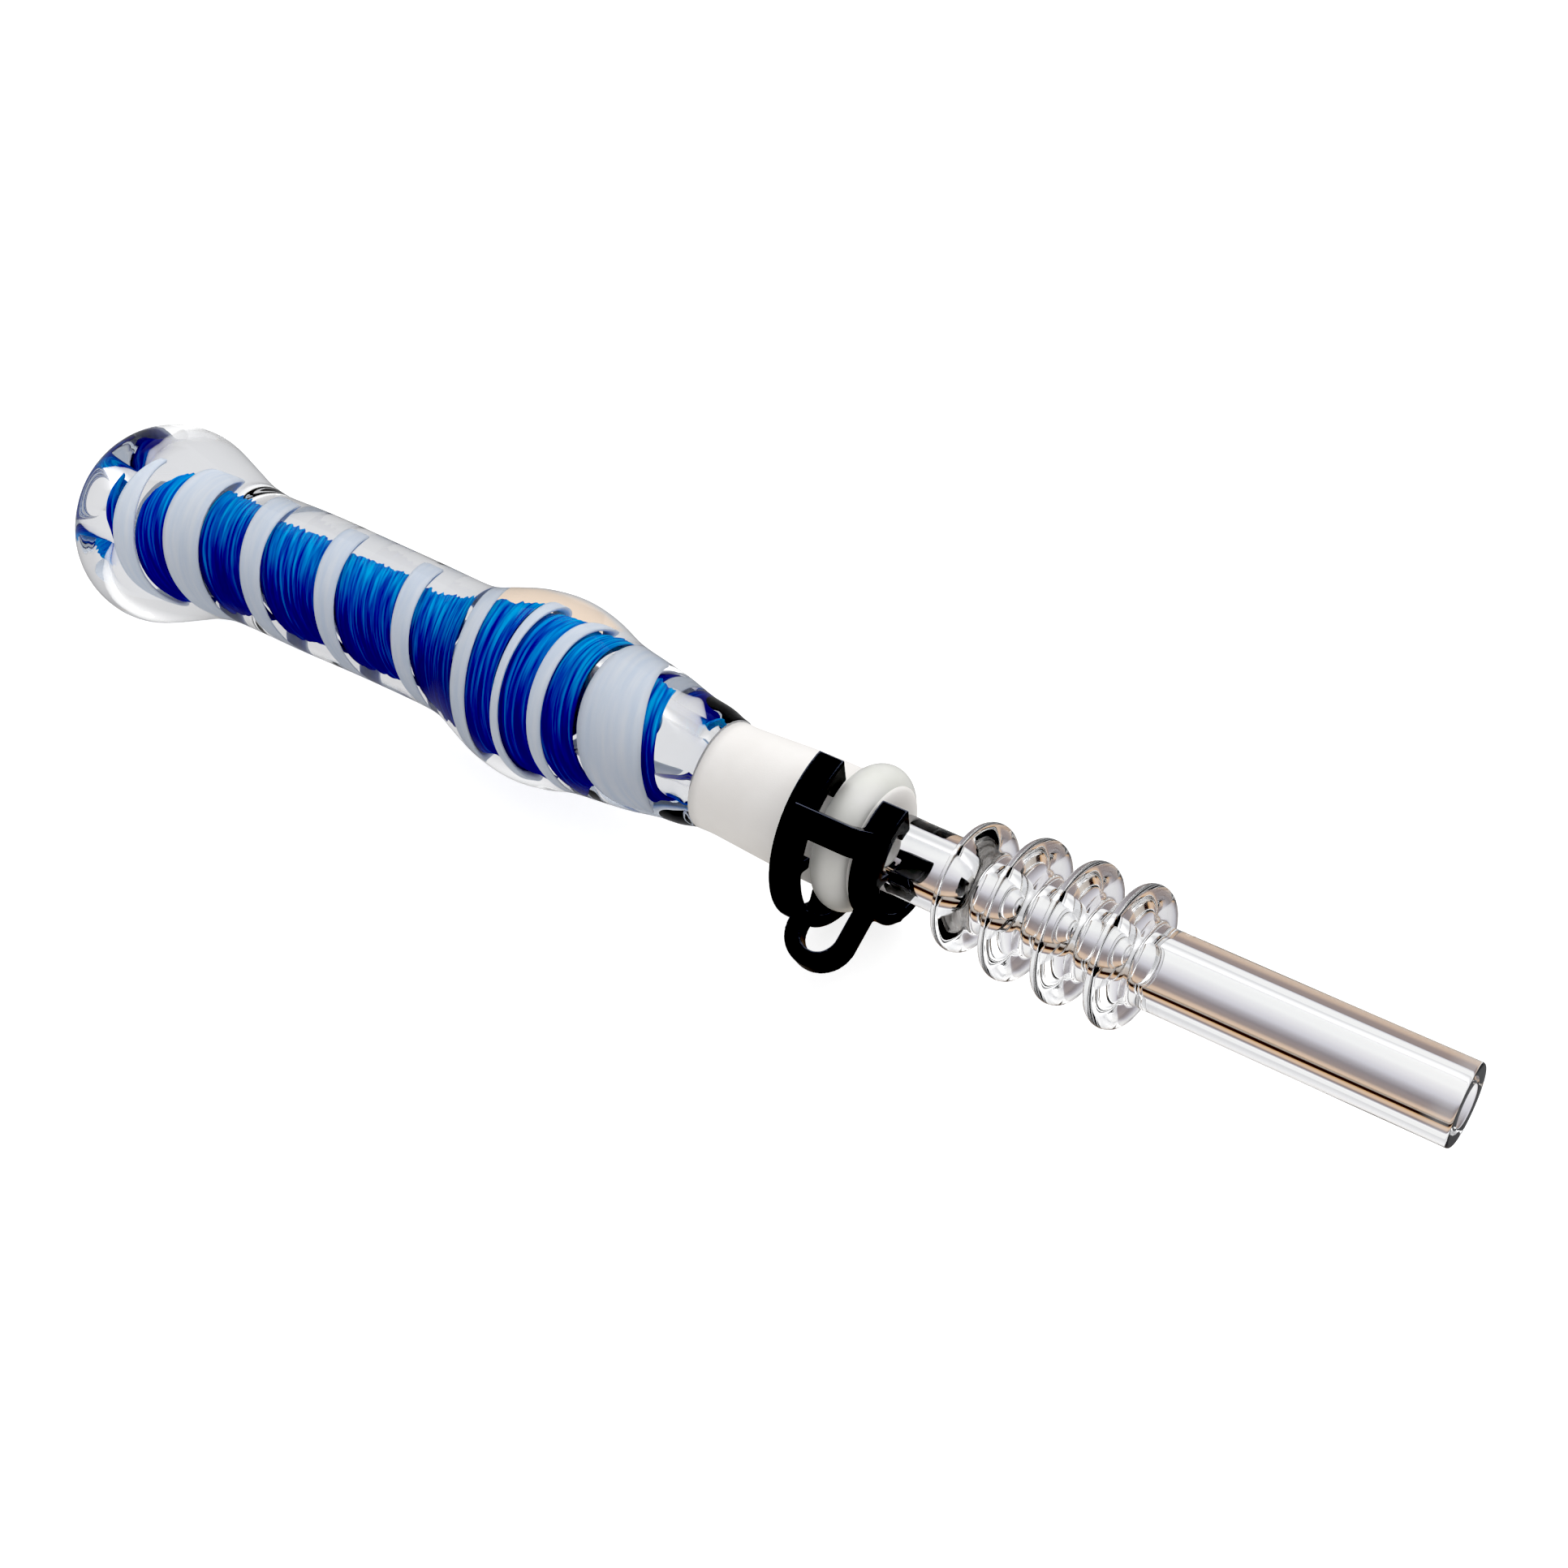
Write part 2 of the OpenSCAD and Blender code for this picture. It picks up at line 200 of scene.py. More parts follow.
def lathe(name, profile, rises=None, wobble=0.0, sides=LATHE_SIDES):
    """Turns a closed outline of (x, radius) about the straw's axis. rises shifts each ring to the upper back,
    and wobble is how much a hand-shaped surface strays from round."""
    profile = np.array(profile, float)
    rises = np.zeros(len(profile)) if rises is None else rises
    points, n = [], len(profile)
    for (x, r), rise in zip(profile, rises):
        lift = UP_BACK * float(rise)
        for k in range(sides):
            a = 2 * math.pi * k / sides
            stray = 0.0
            if wobble:
                at = Vector((x * 60, math.cos(a) * 1.3, math.sin(a) * 1.3))
                stray = wobble * noise.noise(at)
            points.append((x, lift.y + (r + stray) * math.cos(a), lift.z + (r + stray) * math.sin(a)))
    faces = []
    for i in range(n):
        j = (i + 1) % n
        for k in range(sides):
            m = (k + 1) % sides
            faces.append((i * sides + k, i * sides + m, j * sides + m, j * sides + k))
    return mesh_object(name, points, faces)


def arc(cx, cr, radius, start, end, steps):
    """Points on an arc in the outline's plane, with angles in degrees from +X towards +radius."""
    angles = np.radians(np.linspace(start, end, steps + 1))
    return [(cx + radius * math.cos(a), cr + radius * math.sin(a)) for a in angles]


# ---------------------------------------------------------------- glass pieces

def handle_glass():
    """The heavy clear tube with its knob and bulge. Its end is sunk into the frosted socket."""
    end = NECK_X + 0.6 * MM
    knob_x = HANDLE_OUT[0][int(np.argmax(HANDLE_OUT[1]))]
    knob_r = HANDLE_OUT[1].max()
    lip_r = HANDLE_OUT[1][0]
    neck_r = float(handle_out(NECK_X))
    mouth_r = HANDLE_IN[1][0]
    step = 0.5 * MM
    dome = [(knob_x * (1 - math.cos(a)), lip_r + (knob_r - lip_r) * math.sin(a))
            for a in np.radians(np.arange(0, 90, 4.5))]
    wall = [(x, float(handle_out(x))) for x in np.arange(knob_x, NECK_X - step, step)]
    neck = [(NECK_X, neck_r - 0.25 * MM), (end, neck_r - 0.8 * MM)]
    bore = [(x, float(handle_in(x)) + HAIR) for x in np.arange(end, 1.2 * MM, -step)]
    lip = [(0.6 * MM, mouth_r + 0.1 * MM), (0.15 * MM, mouth_r + 0.45 * MM), (0.0, mouth_r + 0.9 * MM)]
    outside, inside = dome + wall + neck, bore + lip
    rises = [bow_rise(x) for x, r in outside] + [bow_rise(x) * CORE_SHARE for x, r in inside]
    return lathe("handle_glass", outside + inside, rises, HANDLE_WOBBLE, HANDLE_SIDES)


def socket_glass():
    """The frosted socket, melted on the neck of the clear handle."""
    outer, inner = between(outline("socket", 1)), between(outline("socket", -1))
    bore_r = float(handle_in(NECK_X)) - HAIR
    neck_r = outer(NECK_X + MM)
    face = [(NECK_X + 0.4 * MM - 0.9 * MM * t, bore_r + (neck_r - 0.4 * MM - bore_r) * t)
            for t in np.linspace(0, 1, 8)]
    shoulder = [(NECK_X - 0.6 * MM, neck_r + HAIR)]
    out = [(x, outer(x)) for x in np.linspace(NECK_X + MM, SOCKET_X - 0.3 * MM, 40)]
    edge = [(SOCKET_X - 0.1 * MM, SOCKET_R - 0.5 * MM), (SOCKET_X, SOCKET_R - 1.0 * MM)]
    back = [(SOCKET_X, inner(SOCKET_X) + 0.1 * MM)]
    cone = [(x, inner(x)) for x in np.linspace(SOCKET_X - 0.3 * MM, NECK_X + 3.2 * MM, 24)]
    return lathe("joint_socket", face + shoulder + out + edge + back + cone)


def rim_glass():
    """The rolled rim, a full bead of half-clear glass melted on the socket's open end."""
    lo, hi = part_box("socket_rim")
    r = (hi.x - lo.x) / 2
    big = hi.z - r
    root = SOCKET_R - 0.5 * MM
    low = math.degrees(math.asin((SOCKET_R - big) / r)) - 6  # the bead's ends dip a little into the socket
    bead = arc((lo.x + hi.x) / 2, big, r, 180 - low, low, 28)
    return lathe("socket_rim_bead", bead + [(bead[-1][0], root), (bead[0][0], root)])


def cone_glass():
    """The tip's ground cone, seated in the socket."""
    outer, inner = between(outline("ground_cone", 1)), between(outline("ground_cone", -1))
    lo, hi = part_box("ground_cone")
    out = [(x, outer(x)) for x in np.linspace(lo.x, hi.x, 24)]
    end_x, end_r = hi.x + 0.9 * MM, outer(hi.x)
    end = [(hi.x + 0.6 * MM, end_r - 0.3 * MM), (end_x, end_r - 1.0 * MM)]
    bore = inner(lo.x) - 0.04 * MM
    return lathe("ground_cone_glass", out + end + [(end_x, bore), (lo.x, bore)])


def tip_glass():
    """The clear tip: one tube with four round-edged rings melted on."""
    start = SOCKET_X + 0.1 * MM
    gap = 0.6 * MM
    tube, bore = between(outline("tip_tube", 1)), between(outline("tip_tube", -1))(start)
    points = [(start, tube(start) - 0.1 * MM)]
    for i in range(1, 5):
        lo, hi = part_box(f"ring_{i}")
        middle, top = (lo.x + hi.x) / 2, hi.z
        r = (hi.x - lo.x) / 2 - RING_MARGIN
        side = middle - r
        root = tube(side) + RING_FILLET
        plain = np.arange(points[-1][0] + gap, side - RING_FILLET - 0.2 * MM, 0.8 * MM)
        points += [(x, tube(x)) for x in plain]
        points += arc(side - RING_FILLET, root, RING_FILLET, -90, 0, 6)
        points += arc(middle, top - r, r, 180, 0, 24)
        points += arc(middle + r + RING_FILLET, root, RING_FILLET, 180, 270, 6)
    points += [(x, tube(x)) for x in np.arange(points[-1][0] + gap, TIP_X - MM, 1.5 * MM)]
    points += arc(TIP_X - TIP_LIP, TUBE_R - TIP_LIP, TIP_LIP, 90, 0, 6)
    points += arc(TIP_X - TIP_LIP, bore + TIP_LIP, TIP_LIP, 0, -90, 5)
    points += [(x, bore) for x in np.arange(TIP_X - 2 * MM, start + MM, -2 * MM)] + [(start, bore)]
    return lathe("tip_glass", points, wobble=TIP_WOBBLE)


# ---------------------------------------------------------------- colour trails

# Both trails turn right-handed towards the tip, and whole turns cross the line that faces the camera. Each
# station is (turn, distance from the mouth in mm, half width in mm).
BLUE = [(-0.22, 11.6, 0.6), (-0.1, 12.6, 2.3), (0, 13.65, 3.65), (1, 26.45, 4.9), (2, 39, 6.0),
        (3, 52.7, 6.1), (4, 65.15, 4.9), (5, 75, 2.6), (6, 80.4, 2.2), (7, 85.95, 2.75), (7.5, 92.2, 1.9),
        (8, 99.6, 1.5), (8.4, 102.2, 0.9), (8.8, 105, 0.4)]
BLUE_STRAY = [(-1.12, 4.6, 0.15), (-1.04, 4.9, 0.45), (-0.92, 6.2, 0.5), (-0.84, 7.3, 0.15)]
WHITE = [(-1.2, 7.2, 0.4), (-1, 8.9, 1.6), (-0.5, 13, 2.4), (0, 18.75, 3.25), (1, 32, 1.85), (2, 45.6, 1.8),
         (3, 59.3, 1.65), (4, 72.2, 1.35), (5, 78.2, 0.5), (6, 83.5, 0.95), (6.4, 86.7, 1.3), (7, 94.85, 4.5),
         (7.25, 97, 4.1), (7.4, 98.5, 1.5)]
BLUE_OUTSIDE = 0.6 * MM  # outer side of the blue trail, above the air passage
BLUE_BAND = {"thick": 0.45 * MM, "across": 41, "rough": 0.38 * MM, "lean": 0.25 * MM}
WHITE_BAND = {"thick": 0.6 * MM, "across": 9, "rough": 0.03 * MM, "lean": 0.0}
# Outer side of the white trail as (distance from the mouth, radius), in mm.
WHITE_OUT = np.array([(6, 6.0), (8, 6.3), (12.5, 6.5), (16, 6.4), (21, 6.0), (28.2, 5.65), (43.2, 5.6),
                      (63.2, 5.6), (71.2, 6.35), (79.2, 7.5), (86.2, 7.3), (94.2, 6.0), (101.2, 5.1),
                      (109, 5.0)]) * MM
FRONT_LINE = math.radians(135)
STEPS_PER_TURN = 72


def strand(stations, depth, thick, across, rough, lean):
    """Points, streak places and turns of one thin band wound inside the wall. depth(x) is the radius of its
    outer side. Across the band run streaks that follow the winding, and rough is how far they stand out.
    The band's mouth side stands out by lean at the top and its tip side at the bottom."""
    stations = np.array(stations, float)
    turns = np.arange(stations[0, 0], stations[-1, 0] + 1e-6, 1 / STEPS_PER_TURN)
    mid = smooth_through((stations[:, 0], stations[:, 1] * MM), 0.25)
    half = smooth_through((stations[:, 0], stations[:, 2] * MM), 0.1)
    points, streak, around = [], [], []
    for t in turns:
        a = FRONT_LINE + 2 * math.pi * t
        w = float(half(t)) * (1 + 0.10 * noise.noise(Vector((t * 2.5, 7.0, 0.0))))
        ring = []
        for s in np.linspace(-1, 1, across):
            x = float(mid(t)) + s * w
            ridge = noise.noise(Vector((s * w / MM * 1.8, t * 0.7, 3.0)))
            tilt = -lean * s * math.sin(a - FRONT_LINE)
            ring.append((x, depth(x) + rough * ridge + tilt - 0.1 * MM * s ** 6, s))
        back = [(x, r - thick * (1 - 0.55 * s ** 4), s) for x, r, s in reversed(ring)]
        for x, r, s in ring + back:
            lift = UP_BACK * float(bow_rise(x)) * CORE_SHARE
            points.append((x, lift.y + r * math.cos(a), lift.z + r * math.sin(a)))
            streak.append(s * float(half(t)) / MM)
            around.append(t)
    return points, streak, around, len(turns)


def trail(name, strands, depth, thick, across, rough, lean):
    """One or more bands of the same colour, in one mesh."""
    points, faces, streak, around = [], [], [], []
    loop = 2 * across
    for stations in strands:
        base = len(points)
        made = strand(stations, depth, thick, across, rough, lean)
        points += made[0]
        streak += made[1]
        around += made[2]
        n = made[3]
        faces += [(base + i * loop + k, base + i * loop + (k + 1) % loop,
                   base + (i + 1) * loop + (k + 1) % loop, base + (i + 1) * loop + k)
                  for i in range(n - 1) for k in range(loop)]
        faces += [tuple(base + k for k in range(loop)),
                  tuple(base + (n - 1) * loop + k for k in reversed(range(loop)))]
    obj = mesh_object(name, points, faces)
    for label, values in (("across", streak), ("turn", around)):
        layer = obj.data.attributes.new(label, "FLOAT", "POINT")
        layer.data.foreach_set("value", np.array(values, np.float32))
    return obj


def blue_depth(x):
    return float(handle_in(x)) + BLUE_OUTSIDE


def blue_trail():
    """The streaky blue band just outside the air passage, and a stray streak near the mouth."""
    return trail("blue_colour_trail", [BLUE, BLUE_STRAY], blue_depth, **BLUE_BAND)


def white_trail():
    """The smooth white band, further out in the wall."""
    return trail("white_colour_trail", [WHITE], between(WHITE_OUT.T), **WHITE_BAND)


# ---------------------------------------------------------------- clip

def joint_clip():
    """The clip is one moulding, so its five CAD solids are fused and their edges rounded."""
    bm = bmesh.new()
    for node in frame["record"]["behaviour"]["bodies"]["clip"]:
        bm.from_mesh(frame["nodes"][node].data)
    bmesh.ops.remove_doubles(bm, verts=bm.verts, dist=1e-6)
    mesh = bpy.data.meshes.new("joint_clip")
    bm.to_mesh(mesh)
    bm.free()
    obj = bpy.data.objects.new("joint_clip", mesh)
    bpy.context.scene.collection.objects.link(obj)
    fuse = obj.modifiers.new("fuse", "REMESH")
    fuse.mode = "VOXEL"
    fuse.voxel_size = CLIP_VOXEL
    soften = obj.modifiers.new("soften", "SMOOTH")
    soften.factor = 0.5
    soften.iterations = CLIP_SMOOTHINGS
    made = bpy.data.meshes.new_from_object(obj.evaluated_get(bpy.context.evaluated_depsgraph_get()))
    obj.modifiers.clear()
    obj.data = made
    made.name = "joint_clip"
    for poly in made.polygons:
        poly.use_smooth = True
    return obj


# ---------------------------------------------------------------- materials

def new_material(name):
    """A material with its nodes, links and main shader."""
    material = bpy.data.materials.new(name)
    material.use_nodes = True
    nodes, links = material.node_tree.nodes, material.node_tree.links
    return material, nodes, links, nodes["Principled BSDF"]


def noise_node(nodes, links, vector, scale, detail=3.0):
    made = nodes.new("ShaderNodeTexNoise")
    made.inputs["Scale"].default_value = scale
    made.inputs["Detail"].default_value = detail
    links.new(vector, made.inputs["Vector"])
    return made.outputs["Fac"]


def ramp_node(nodes, links, factor, stops):
    made = nodes.new("ShaderNodeValToRGB")
    ramp = made.color_ramp
    while len(ramp.elements) < len(stops):
        ramp.elements.new(0.5)
    for element, (place, colour) in zip(ramp.elements, stops):
        element.position = place
        element.color = (*colour, 1)
    links.new(factor, made.inputs["Fac"])
    return made.outputs["Color"]


def bump_node(nodes, links, height, strength, distance):
    made = nodes.new("ShaderNodeBump")
    made.inputs["Strength"].default_value = strength
    made.inputs["Distance"].default_value = distance
    links.new(height, made.inputs["Height"])
    return made.outputs["Normal"]


def mix_node(nodes, links, factor, plain, other):
    """The plain colour where factor is 0, and the other one where it is 1."""
    made = nodes.new("ShaderNodeMix")
    made.data_type = "RGBA"
    made.inputs["A"].default_value = (*plain, 1)
    links.new(factor, made.inputs["Factor"])
    links.new(other, made.inputs["B"])
    return made.outputs["Result"]


def span(nodes, links, value, low, high):
    """0 at low and 1 at high."""
    made = nodes.new("ShaderNodeMapRange")
    made.inputs["From Min"].default_value = low
    made.inputs["From Max"].default_value = high
    links.new(value, made.inputs["Value"])
    return made.outputs["Result"]


def calc(nodes, links, operation, *values):
    """The result of a sum. Each value is a number or another node's output."""
    made = nodes.new("ShaderNodeMath")
    made.operation = operation
    for socket, value in zip(made.inputs, values):
        if isinstance(value, (int, float)):
            socket.default_value = value
        else:
            links.new(value, socket)
    return made.outputs["Value"]


def dot_with(nodes, links, vector, direction):
    """How far a vector points in a fixed direction."""
    made = nodes.new("ShaderNodeVectorMath")
    made.operation = "DOT_PRODUCT"
    made.inputs[1].default_value = direction
    links.new(vector, made.inputs[0])
    return made.outputs["Value"]


def attribute(nodes, label):
    made = nodes.new("ShaderNodeAttribute")
    made.attribute_name = label
    return made.outputs["Fac"]


def object_place(nodes):
    return nodes.new("ShaderNodeTexCoord").outputs["Object"]


def clear_glass():
    """Fire-polished glass: clear, with very soft draw lines along the straw."""
    material, nodes, links, shader = new_material("clear_glass")
    place = object_place(nodes)
    stretch = nodes.new("ShaderNodeMapping")
    stretch.inputs["Scale"].default_value = (0.25, 1.0, 1.0)
    links.new(place, stretch.inputs["Vector"])
    waves = noise_node(nodes, links, stretch.outputs["Vector"], 160.0, 1.0)
    tint = ramp_node(nodes, links, waves, [(0.3, (0.985, 0.992, 0.995)), (0.7, (1.0, 1.0, 1.0))])
    links.new(tint, shader.inputs["Base Color"])
    links.new(bump_node(nodes, links, waves, 0.12, 0.0004), shader.inputs["Normal"])
    shader.inputs["Roughness"].default_value = 0.0
    shader.inputs["IOR"].default_value = GLASS_IOR
    shader.inputs["Specular Tint"].default_value = (*GLASS_SHEEN, 1)
    shader.inputs["Transmission Weight"].default_value = 1.0
    return material


def streaked(name, stops, across_scale, along_scale, roughness, painted_light_amount):
    """Colour in streaks that follow the winding, with painted light: it is painted lighter towards the
    straw's upper back by the last amount given.
    """
    material, nodes, links, shader = new_material(name)
    place = nodes.new("ShaderNodeCombineXYZ")
    for socket, label, scale in (("X", "across", across_scale), ("Y", "turn", along_scale)):
        stretched = calc(nodes, links, "MULTIPLY", attribute(nodes, label), scale)
        links.new(stretched, place.inputs[socket])
    streaks = noise_node(nodes, links, place.outputs["Vector"], 1.0, 5.0)
    # Painted light: lighter towards the straw's upper back and darker towards the lower front.
    angle = calc(nodes, links, "MULTIPLY", attribute(nodes, "turn"), -2 * math.pi)
    painted_light_wave = calc(nodes, links, "MULTIPLY", calc(nodes, links, "SINE", angle), painted_light_amount)
    dye_and_painted_light = calc(nodes, links, "ADD", streaks, painted_light_wave)
    links.new(ramp_node(nodes, links, dye_and_painted_light, stops), shader.inputs["Base Color"])
    links.new(bump_node(nodes, links, streaks, 0.4, 0.0002), shader.inputs["Normal"])
    shader.inputs["Roughness"].default_value = roughness
    shader.inputs["Specular IOR Level"].default_value = 0.0
    return material


def blue_glass():
    """Cobalt blue, from navy to turquoise in streaks, and painted lighter towards the straw's upper back."""
    stops = [(0.36, (0.0, 0.0, 0.24)), (0.43, (0.0, 0.01, 0.36)), (0.53, (0.0, 0.07, 0.52)),
             (0.65, (0.0, 0.24, 0.72)), (0.77, (0.0, 0.45, 0.88))]
    return streaked("blue_glass", stops, 2.2, 4.0, 0.35, 0.15)


def white_glass():
    """Milky white, slightly blue."""
    stops = [(0.35, (0.71, 0.79, 0.90)), (0.65, (0.81, 0.86, 0.93))]
    return streaked("white_glass", stops, 0.9, 4.0, 0.4, 0.0)


def frosted_glass():
    """Ground glass: warm white and dull, with fine scratches."""
    material, nodes, links, shader = new_material("frosted_glass")
    place = object_place(nodes)
    cloud = noise_node(nodes, links, place, 140.0, 4.0)
    grain = noise_node(nodes, links, place, 6000.0, 2.0)
    tint = ramp_node(nodes, links, cloud, [(0.3, (0.86, 0.835, 0.805)), (0.7, (0.92, 0.90, 0.875))])
    links.new(tint, shader.inputs["Base Color"])
    links.new(bump_node(nodes, links, grain, 0.25, 0.00005), shader.inputs["Normal"])
    shader.inputs["Roughness"].default_value = 0.5
    shader.inputs["IOR"].default_value = GLASS_IOR
    shader.inputs["Transmission Weight"].default_value = 0.12
    return material


def rim_material():
    """Half-clear glass of the rolled rim, slightly green."""
    material, nodes, links, shader = new_material("rim_glass")
    place = object_place(nodes)
    cloud = noise_node(nodes, links, place, 220.0, 3.0)
    tint = ramp_node(nodes, links, cloud, [(0.3, (0.93, 0.94, 0.89)), (0.7, (0.99, 0.99, 0.97))])
    links.new(tint, shader.inputs["Base Color"])
    shader.inputs["Roughness"].default_value = 0.25
    shader.inputs["IOR"].default_value = GLASS_IOR
    shader.inputs["Transmission Weight"].default_value = 0.4
    return material


def clip_plastic():
    """Glossy black acetal with a faint moulded ripple, and a painted highlight: sharp edges that face up are
    coloured lighter.
    """
    material, nodes, links, shader = new_material("clip_plastic")
    place = object_place(nodes)
    ripple = noise_node(nodes, links, place, 500.0, 2.0)
    tint = ramp_node(nodes, links, ripple, [(0.3, (0.0002, 0.0002, 0.0003)), (0.7, (0.0008, 0.0008, 0.001))])
    # Painted highlight: a lighter colour on sharp edges that face up.
    geometry = nodes.new("ShaderNodeNewGeometry")
    edge = span(nodes, links, geometry.outputs["Pointiness"], *CLIP_HIGHLIGHT_POINTINESS)
    toward_highlight_side = dot_with(nodes, links, geometry.outputs["Normal"], CLIP_PAINTED_HIGHLIGHT_SIDE)
    facing = span(nodes, links, toward_highlight_side, *CLIP_HIGHLIGHT_FACING)
    colour = nodes.new("ShaderNodeMix")
    colour.data_type = "RGBA"
    colour.inputs["B"].default_value = (*CLIP_PAINTED_HIGHLIGHT_COLOUR, 1)
    links.new(calc(nodes, links, "MULTIPLY", edge, facing), colour.inputs["Factor"])
    links.new(tint, colour.inputs["A"])
    links.new(colour.outputs["Result"], shader.inputs["Base Color"])
    links.new(bump_node(nodes, links, ripple, 0.15, 0.0002), shader.inputs["Normal"])
    shader.inputs["Roughness"].default_value = 0.16
    shader.inputs["Specular IOR Level"].default_value = 0.04
    return material


# ---------------------------------------------------------------- stage

def make_camera():
    """The camera, which looks at the straw from the front right and from above."""
    a, e = math.radians(VIEW_AZIMUTH), math.radians(VIEW_ELEVATION)
    back = Vector((math.sin(a) * math.cos(e), -math.cos(a) * math.cos(e), math.sin(e)))
    data = bpy.data.cameras.new("camera")
    data.lens = LENS
    data.sensor_width = 36.0
    data.clip_start = 0.01
    camera = bpy.data.objects.new("camera", data)
    camera.location = VIEW_TARGET + back * VIEW_DISTANCE
    camera.rotation_mode = "QUATERNION"
    camera.rotation_quaternion = (-back).to_track_quat("-Z", "Y")
    bpy.context.scene.collection.objects.link(camera)
    bpy.context.scene.camera = camera


def mirror_dim(nodes, links, strength):
    """A light strength that drops for mirror images: rays that were reflected, but not by a dull surface."""
    path = nodes.new("ShaderNodeLightPath").outputs
    made = nodes.new("ShaderNodeMapRange")
    made.inputs["To Min"].default_value = strength
    made.inputs["To Max"].default_value = strength * MIRROR_DIM
    mirrored = calc(nodes, links, "SUBTRACT", path["Is Reflection Ray"], path["Is Diffuse Ray"])
    links.new(mirrored, made.inputs["Value"])
    return made.outputs["Result"]


def outside_patch(nodes, links):
    """0 in the middle of the painted tan patch that glass sees on the floor, rising to 1 outside it."""
    x, y, half_x, half_y = PAINTED_REFLECTION_PATCH
    scaled = nodes.new("ShaderNodeMapping")
    scaled.vector_type = "TEXTURE"
    scaled.inputs["Location"].default_value = (x, y, FLOOR_Z)
    scaled.inputs["Scale"].default_value = (half_x, half_y, 1.0)
    links.new(object_place(nodes), scaled.inputs["Vector"])
    distance = nodes.new("ShaderNodeVectorMath")
    distance.operation = "LENGTH"
    links.new(scaled.outputs["Vector"], distance.inputs[0])
    return span(nodes, links, distance.outputs["Value"], 0.6, 1.0)


def painted_reflection_colour(nodes, links, path):
    """Painted reflections that only glass sees in the floor: stripes beside the tip, a tan patch, and pale
    everywhere else. They stand in for the things around a straw. Dull surfaces get a plain bright light
    instead."""
    place = nodes.new("ShaderNodeSeparateXYZ")
    links.new(object_place(nodes), place.inputs[0])
    x, y = place.outputs["X"], place.outputs["Y"]
    stripes = ramp_node(nodes, links, span(nodes, links, y, FLOOR_FRONT, FLOOR_BACK), PAINTED_REFLECTION_STOPS)
    colour = mix_node(nodes, links, span(nodes, links, x, *STRIPES_START), FLOOR_PALE, stripes)
    colour = mix_node(nodes, links, span(nodes, links, x, *STRIPES_END), FLOOR_PALE, colour)
    colour = mix_node(nodes, links, outside_patch(nodes, links), PAINTED_REFLECTION_TAN, colour)
    seen = calc(nodes, links, "SUBTRACT", 1.0, path["Is Diffuse Ray"])
    return mix_node(nodes, links, seen, FLOOR_LIGHT, colour)


def make_floor():
    """A wide pale floor. To the camera it is plain, with a soft shadow; glass sees painted reflections in it.
    """
    corners = [(-FLOOR_HALF, -FLOOR_HALF, FLOOR_Z), (FLOOR_HALF, -FLOOR_HALF, FLOOR_Z),
               (FLOOR_HALF, FLOOR_HALF, FLOOR_Z), (-FLOOR_HALF, FLOOR_HALF, FLOOR_Z)]
    floor = mesh_object("floor", corners, [(0, 1, 2, 3)], smooth=False)
    material, nodes, links, shader = new_material("floor")
    nodes.remove(shader)
    path = nodes.new("ShaderNodeLightPath").outputs
    around, pale = (nodes.new("ShaderNodeEmission") for _ in range(2))
    links.new(painted_reflection_colour(nodes, links, path), around.inputs["Color"])
    links.new(mirror_dim(nodes, links, 1.0), around.inputs["Strength"])
    pale.inputs["Strength"].default_value = FLOOR_GLOW
    shade = nodes.new("ShaderNodeBsdfDiffuse")
    shade.inputs["Color"].default_value = (*FLOOR_GREY, 1)
    lit = nodes.new("ShaderNodeAddShader")
    links.new(pale.outputs["Emission"], lit.inputs[0])
    links.new(shade.outputs["BSDF"], lit.inputs[1])
    mix = nodes.new("ShaderNodeMixShader")
    links.new(path["Is Camera Ray"], mix.inputs["Fac"])
    links.new(around.outputs["Emission"], mix.inputs[1])
    links.new(lit.outputs["Shader"], mix.inputs[2])
    links.new(mix.outputs["Shader"], nodes["Material Output"].inputs["Surface"])
    floor.data.materials.append(material)


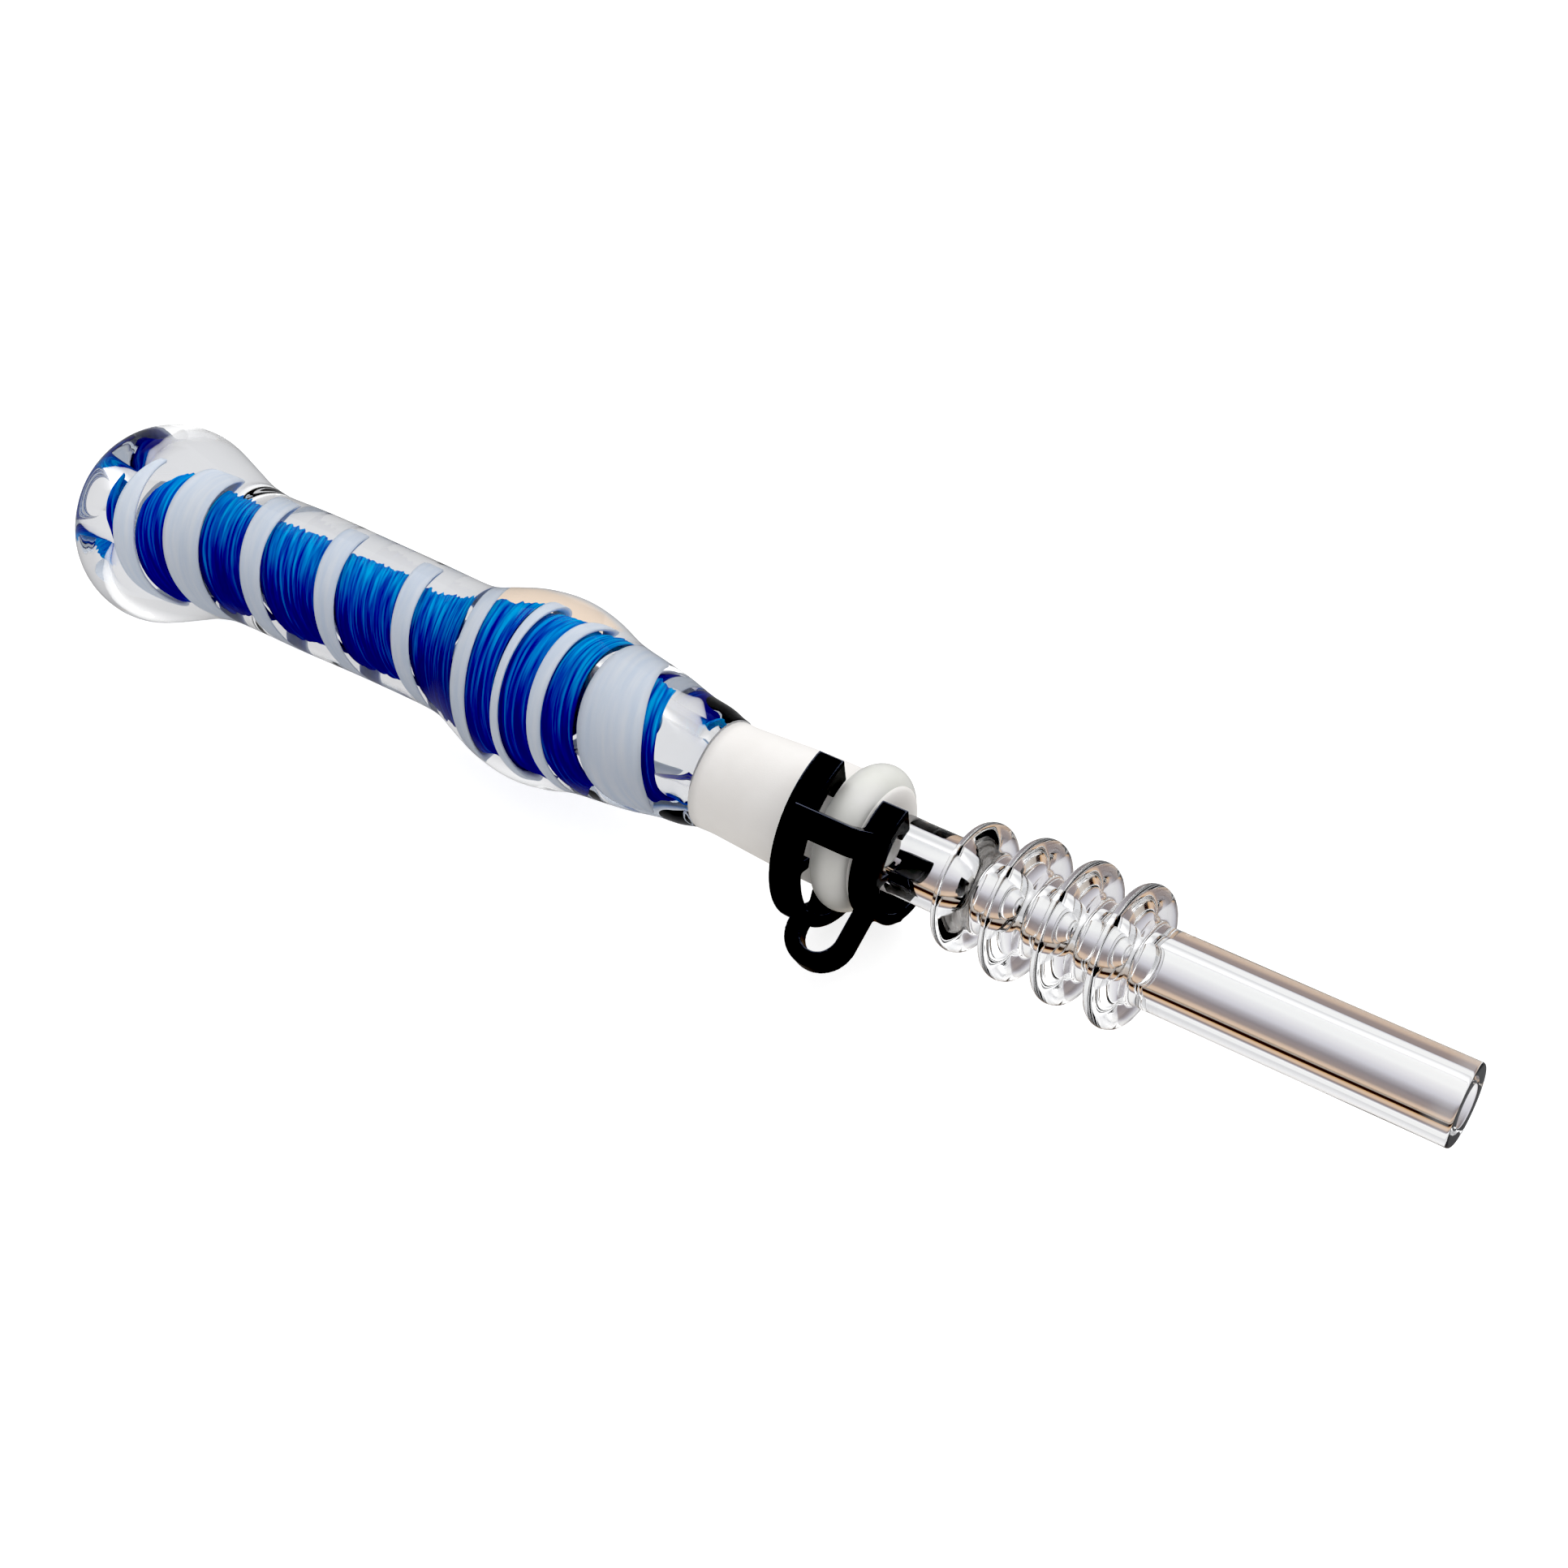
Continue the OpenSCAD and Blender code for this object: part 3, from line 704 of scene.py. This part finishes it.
def make_world():
    """A soft white room that is darker near the floor."""
    world = bpy.data.worlds.new("studio")
    bpy.context.scene.world = world
    world.use_nodes = True
    nodes, links = world.node_tree.nodes, world.node_tree.links
    outward = nodes.new("ShaderNodeTexCoord").outputs["Generated"]
    toward = span(nodes, links, dot_with(nodes, links, outward, BRIGHT_SIDE), -1, 1)
    colour = ramp_node(nodes, links, toward, ROOM_STOPS)
    background = nodes["Background"]
    links.new(colour, background.inputs["Color"])
    links.new(mirror_dim(nodes, links, ROOM_STRENGTH), background.inputs["Strength"])


def make_softbox():
    """One large soft light above, aimed at the middle of the straw."""
    data = bpy.data.lights.new("overhead_softbox", "AREA")
    data.shape = "RECTANGLE"
    data.size, data.size_y = SOFTBOX_SIZE
    data.energy = SOFTBOX_POWER
    light = bpy.data.objects.new("overhead_softbox", data)
    light.location = SOFTBOX_PLACE
    target = Vector((TIP_X / 2, 0, 0))
    light.rotation_mode = "QUATERNION"
    light.rotation_quaternion = (target - light.location).to_track_quat("-Z", "Y")
    bpy.context.scene.collection.objects.link(light)


def make_stage():
    make_floor()
    make_world()
    make_softbox()
    view = bpy.context.scene.view_settings
    view.view_transform = "Standard"
    view.use_curve_mapping = True
    view.curve_mapping.black_level = (BLACK_LEVEL,) * 3
    bpy.context.scene.cycles.max_bounces = LIGHT_BOUNCES
    bpy.context.scene.cycles.transmission_bounces = LIGHT_BOUNCES


def place_piece(piece, material, body, slot, *nodes):
    """Gives a piece its material and body, in place of the CAD nodes."""
    piece.data.materials.clear()
    piece.data.materials.append(material)
    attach(piece, body)
    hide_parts(*nodes)


make_camera()
clear = clear_glass()
frosted = frosted_glass()
place_piece(handle_glass(), clear, "handle", "clear_glass", "handle_body")
place_piece(blue_trail(), blue_glass(), "handle", "blue_glass", "blue_trail")
place_piece(white_trail(), white_glass(), "handle", "white_glass", "white_trail")
place_piece(socket_glass(), frosted, "handle", "frosted_glass", "socket")
place_piece(rim_glass(), rim_material(), "handle", "frosted_glass", "socket_rim")
place_piece(cone_glass(), frosted, "tip", "frosted_glass", "ground_cone")
place_piece(tip_glass(), clear, "tip", "clear_glass", "tip_tube", "ring_1", "ring_2", "ring_3", "ring_4")
place_piece(joint_clip(), clip_plastic(), "clip", "clip_plastic", "clip_large_collar", "clip_small_collar",
            "clip_bridge_front", "clip_bridge_back", "clip_loop")
make_stage()
